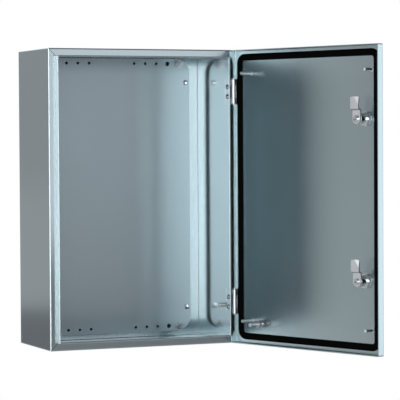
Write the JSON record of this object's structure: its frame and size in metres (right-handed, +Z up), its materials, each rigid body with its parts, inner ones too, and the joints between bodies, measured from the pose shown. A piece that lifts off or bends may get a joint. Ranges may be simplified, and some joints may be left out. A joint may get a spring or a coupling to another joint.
{
  "type": "wall enclosure",
  "caption": "Single-door steel wall enclosure standing open, with a mounting plate, hinged tray door on a foam gasket and quarter-turn cam locks.",
  "frame": {"origin": "centre of the wall fixing hole pattern, on the flat back face of the body", "axes": "+Y out of the back face towards the wall, -Y out of the front opening, +Z up, +X towards the hinged side"},
  "size_m": [0.5437, 0.5702, 0.6],
  "materials": {
    "body_shell": "satin stainless sheet, edges folded and polished",
    "back_wall": "satin stainless sheet",
    "lock_keepers": "satin stainless sheet",
    "body_earth_stud": "passivated stud",
    "mounting_plate": "galvanised sheet steel, smooth",
    "plate_studs": "zinc plated",
    "plate_spacers": "zinc plated",
    "plate_nuts": "zinc plated",
    "plate_plugs": "bright sheet steel",
    "hinge_body_leaf_upper": "satin stainless strip",
    "hinge_body_leaf_lower": "satin stainless strip",
    "hinge_rivets": "satin stainless",
    "hinge_pin_upper": "ground stainless",
    "hinge_pin_lower": "ground stainless",
    "hinge_door_leaf_upper": "satin stainless strip",
    "hinge_door_leaf_lower": "satin stainless strip",
    "door_panel": "satin stainless sheet, edges folded",
    "door_gasket": "foamed in place polyurethane, matt black",
    "door_studs": "copper-flashed weld studs",
    "door_earth_stud": "copper-flashed weld stud",
    "door_earth_washers": "zinc plated",
    "door_earth_nuts": "zinc plated",
    "lock_housing_upper": "chromed zinc die casting",
    "lock_housing_lower": "chromed zinc die casting",
    "lock_seal_upper": "black rubber",
    "lock_seal_lower": "black rubber",
    "lock_washer_upper": "bright plated",
    "lock_washer_lower": "bright plated",
    "lock_nut_upper": "bright chromed",
    "lock_nut_lower": "bright chromed",
    "lock_core_upper": "chromed zinc",
    "lock_core_lower": "chromed zinc",
    "lock_cam_upper": "zinc plated strip steel",
    "lock_cam_lower": "zinc plated strip steel",
    "lock_screw_upper": "bright plated",
    "lock_screw_lower": "bright plated"
  },
  "bodies": {
    "cabinet": {"body_shell": "body_shell", "back_wall": "back_wall", "lock_keepers": "lock_keepers", "body_earth_stud": "body_earth_stud", "mounting_plate": "mounting_plate", "plate_studs": "plate_studs", "plate_spacers": "plate_spacers", "plate_nuts": "plate_nuts", "plate_plugs": "plate_plugs", "hinge_body_leaf_upper": "hinge_body_leaf_upper", "hinge_body_leaf_lower": "hinge_body_leaf_lower", "hinge_rivets": "hinge_rivets", "hinge_pin_upper": "hinge_pin_upper", "hinge_pin_lower": "hinge_pin_lower"},
    "door": {"door_panel": "door_panel", "door_gasket": "door_gasket", "door_studs": "door_studs", "door_earth_stud": "door_earth_stud", "door_earth_washers": "door_earth_washers", "door_earth_nuts": "door_earth_nuts", "hinge_door_leaf_upper": "hinge_door_leaf_upper", "hinge_door_leaf_lower": "hinge_door_leaf_lower", "lock_housing_upper": "lock_housing_upper", "lock_seal_upper": "lock_seal_upper", "lock_washer_upper": "lock_washer_upper", "lock_nut_upper": "lock_nut_upper", "lock_housing_lower": "lock_housing_lower", "lock_seal_lower": "lock_seal_lower", "lock_washer_lower": "lock_washer_lower", "lock_nut_lower": "lock_nut_lower"},
    "cam_upper": {"lock_core_upper": "lock_core_upper", "lock_cam_upper": "lock_cam_upper", "lock_screw_upper": "lock_screw_upper"},
    "cam_lower": {"lock_core_lower": "lock_core_lower", "lock_cam_lower": "lock_cam_lower", "lock_screw_lower": "lock_screw_lower"}
  },
  "joints": [
    {"name": "door_hinge", "type": "hinge", "parent": "cabinet", "child": "door", "pos_m": [0.1945, -0.2005, 0], "axis": [0, 0, 1], "range_deg": [-111, 19]},
    {"name": "lock_turn_upper", "type": "hinge", "parent": "door", "child": "cam_upper", "pos_m": [0.31975, -0.52679, 0.156], "axis": [0.9336, 0.3584, 0], "range_deg": [0, 90]},
    {"name": "lock_turn_lower", "type": "hinge", "parent": "door", "child": "cam_lower", "pos_m": [0.31975, -0.52679, -0.156], "axis": [0.9336, 0.3584, 0], "range_deg": [0, 90]}
  ]
}
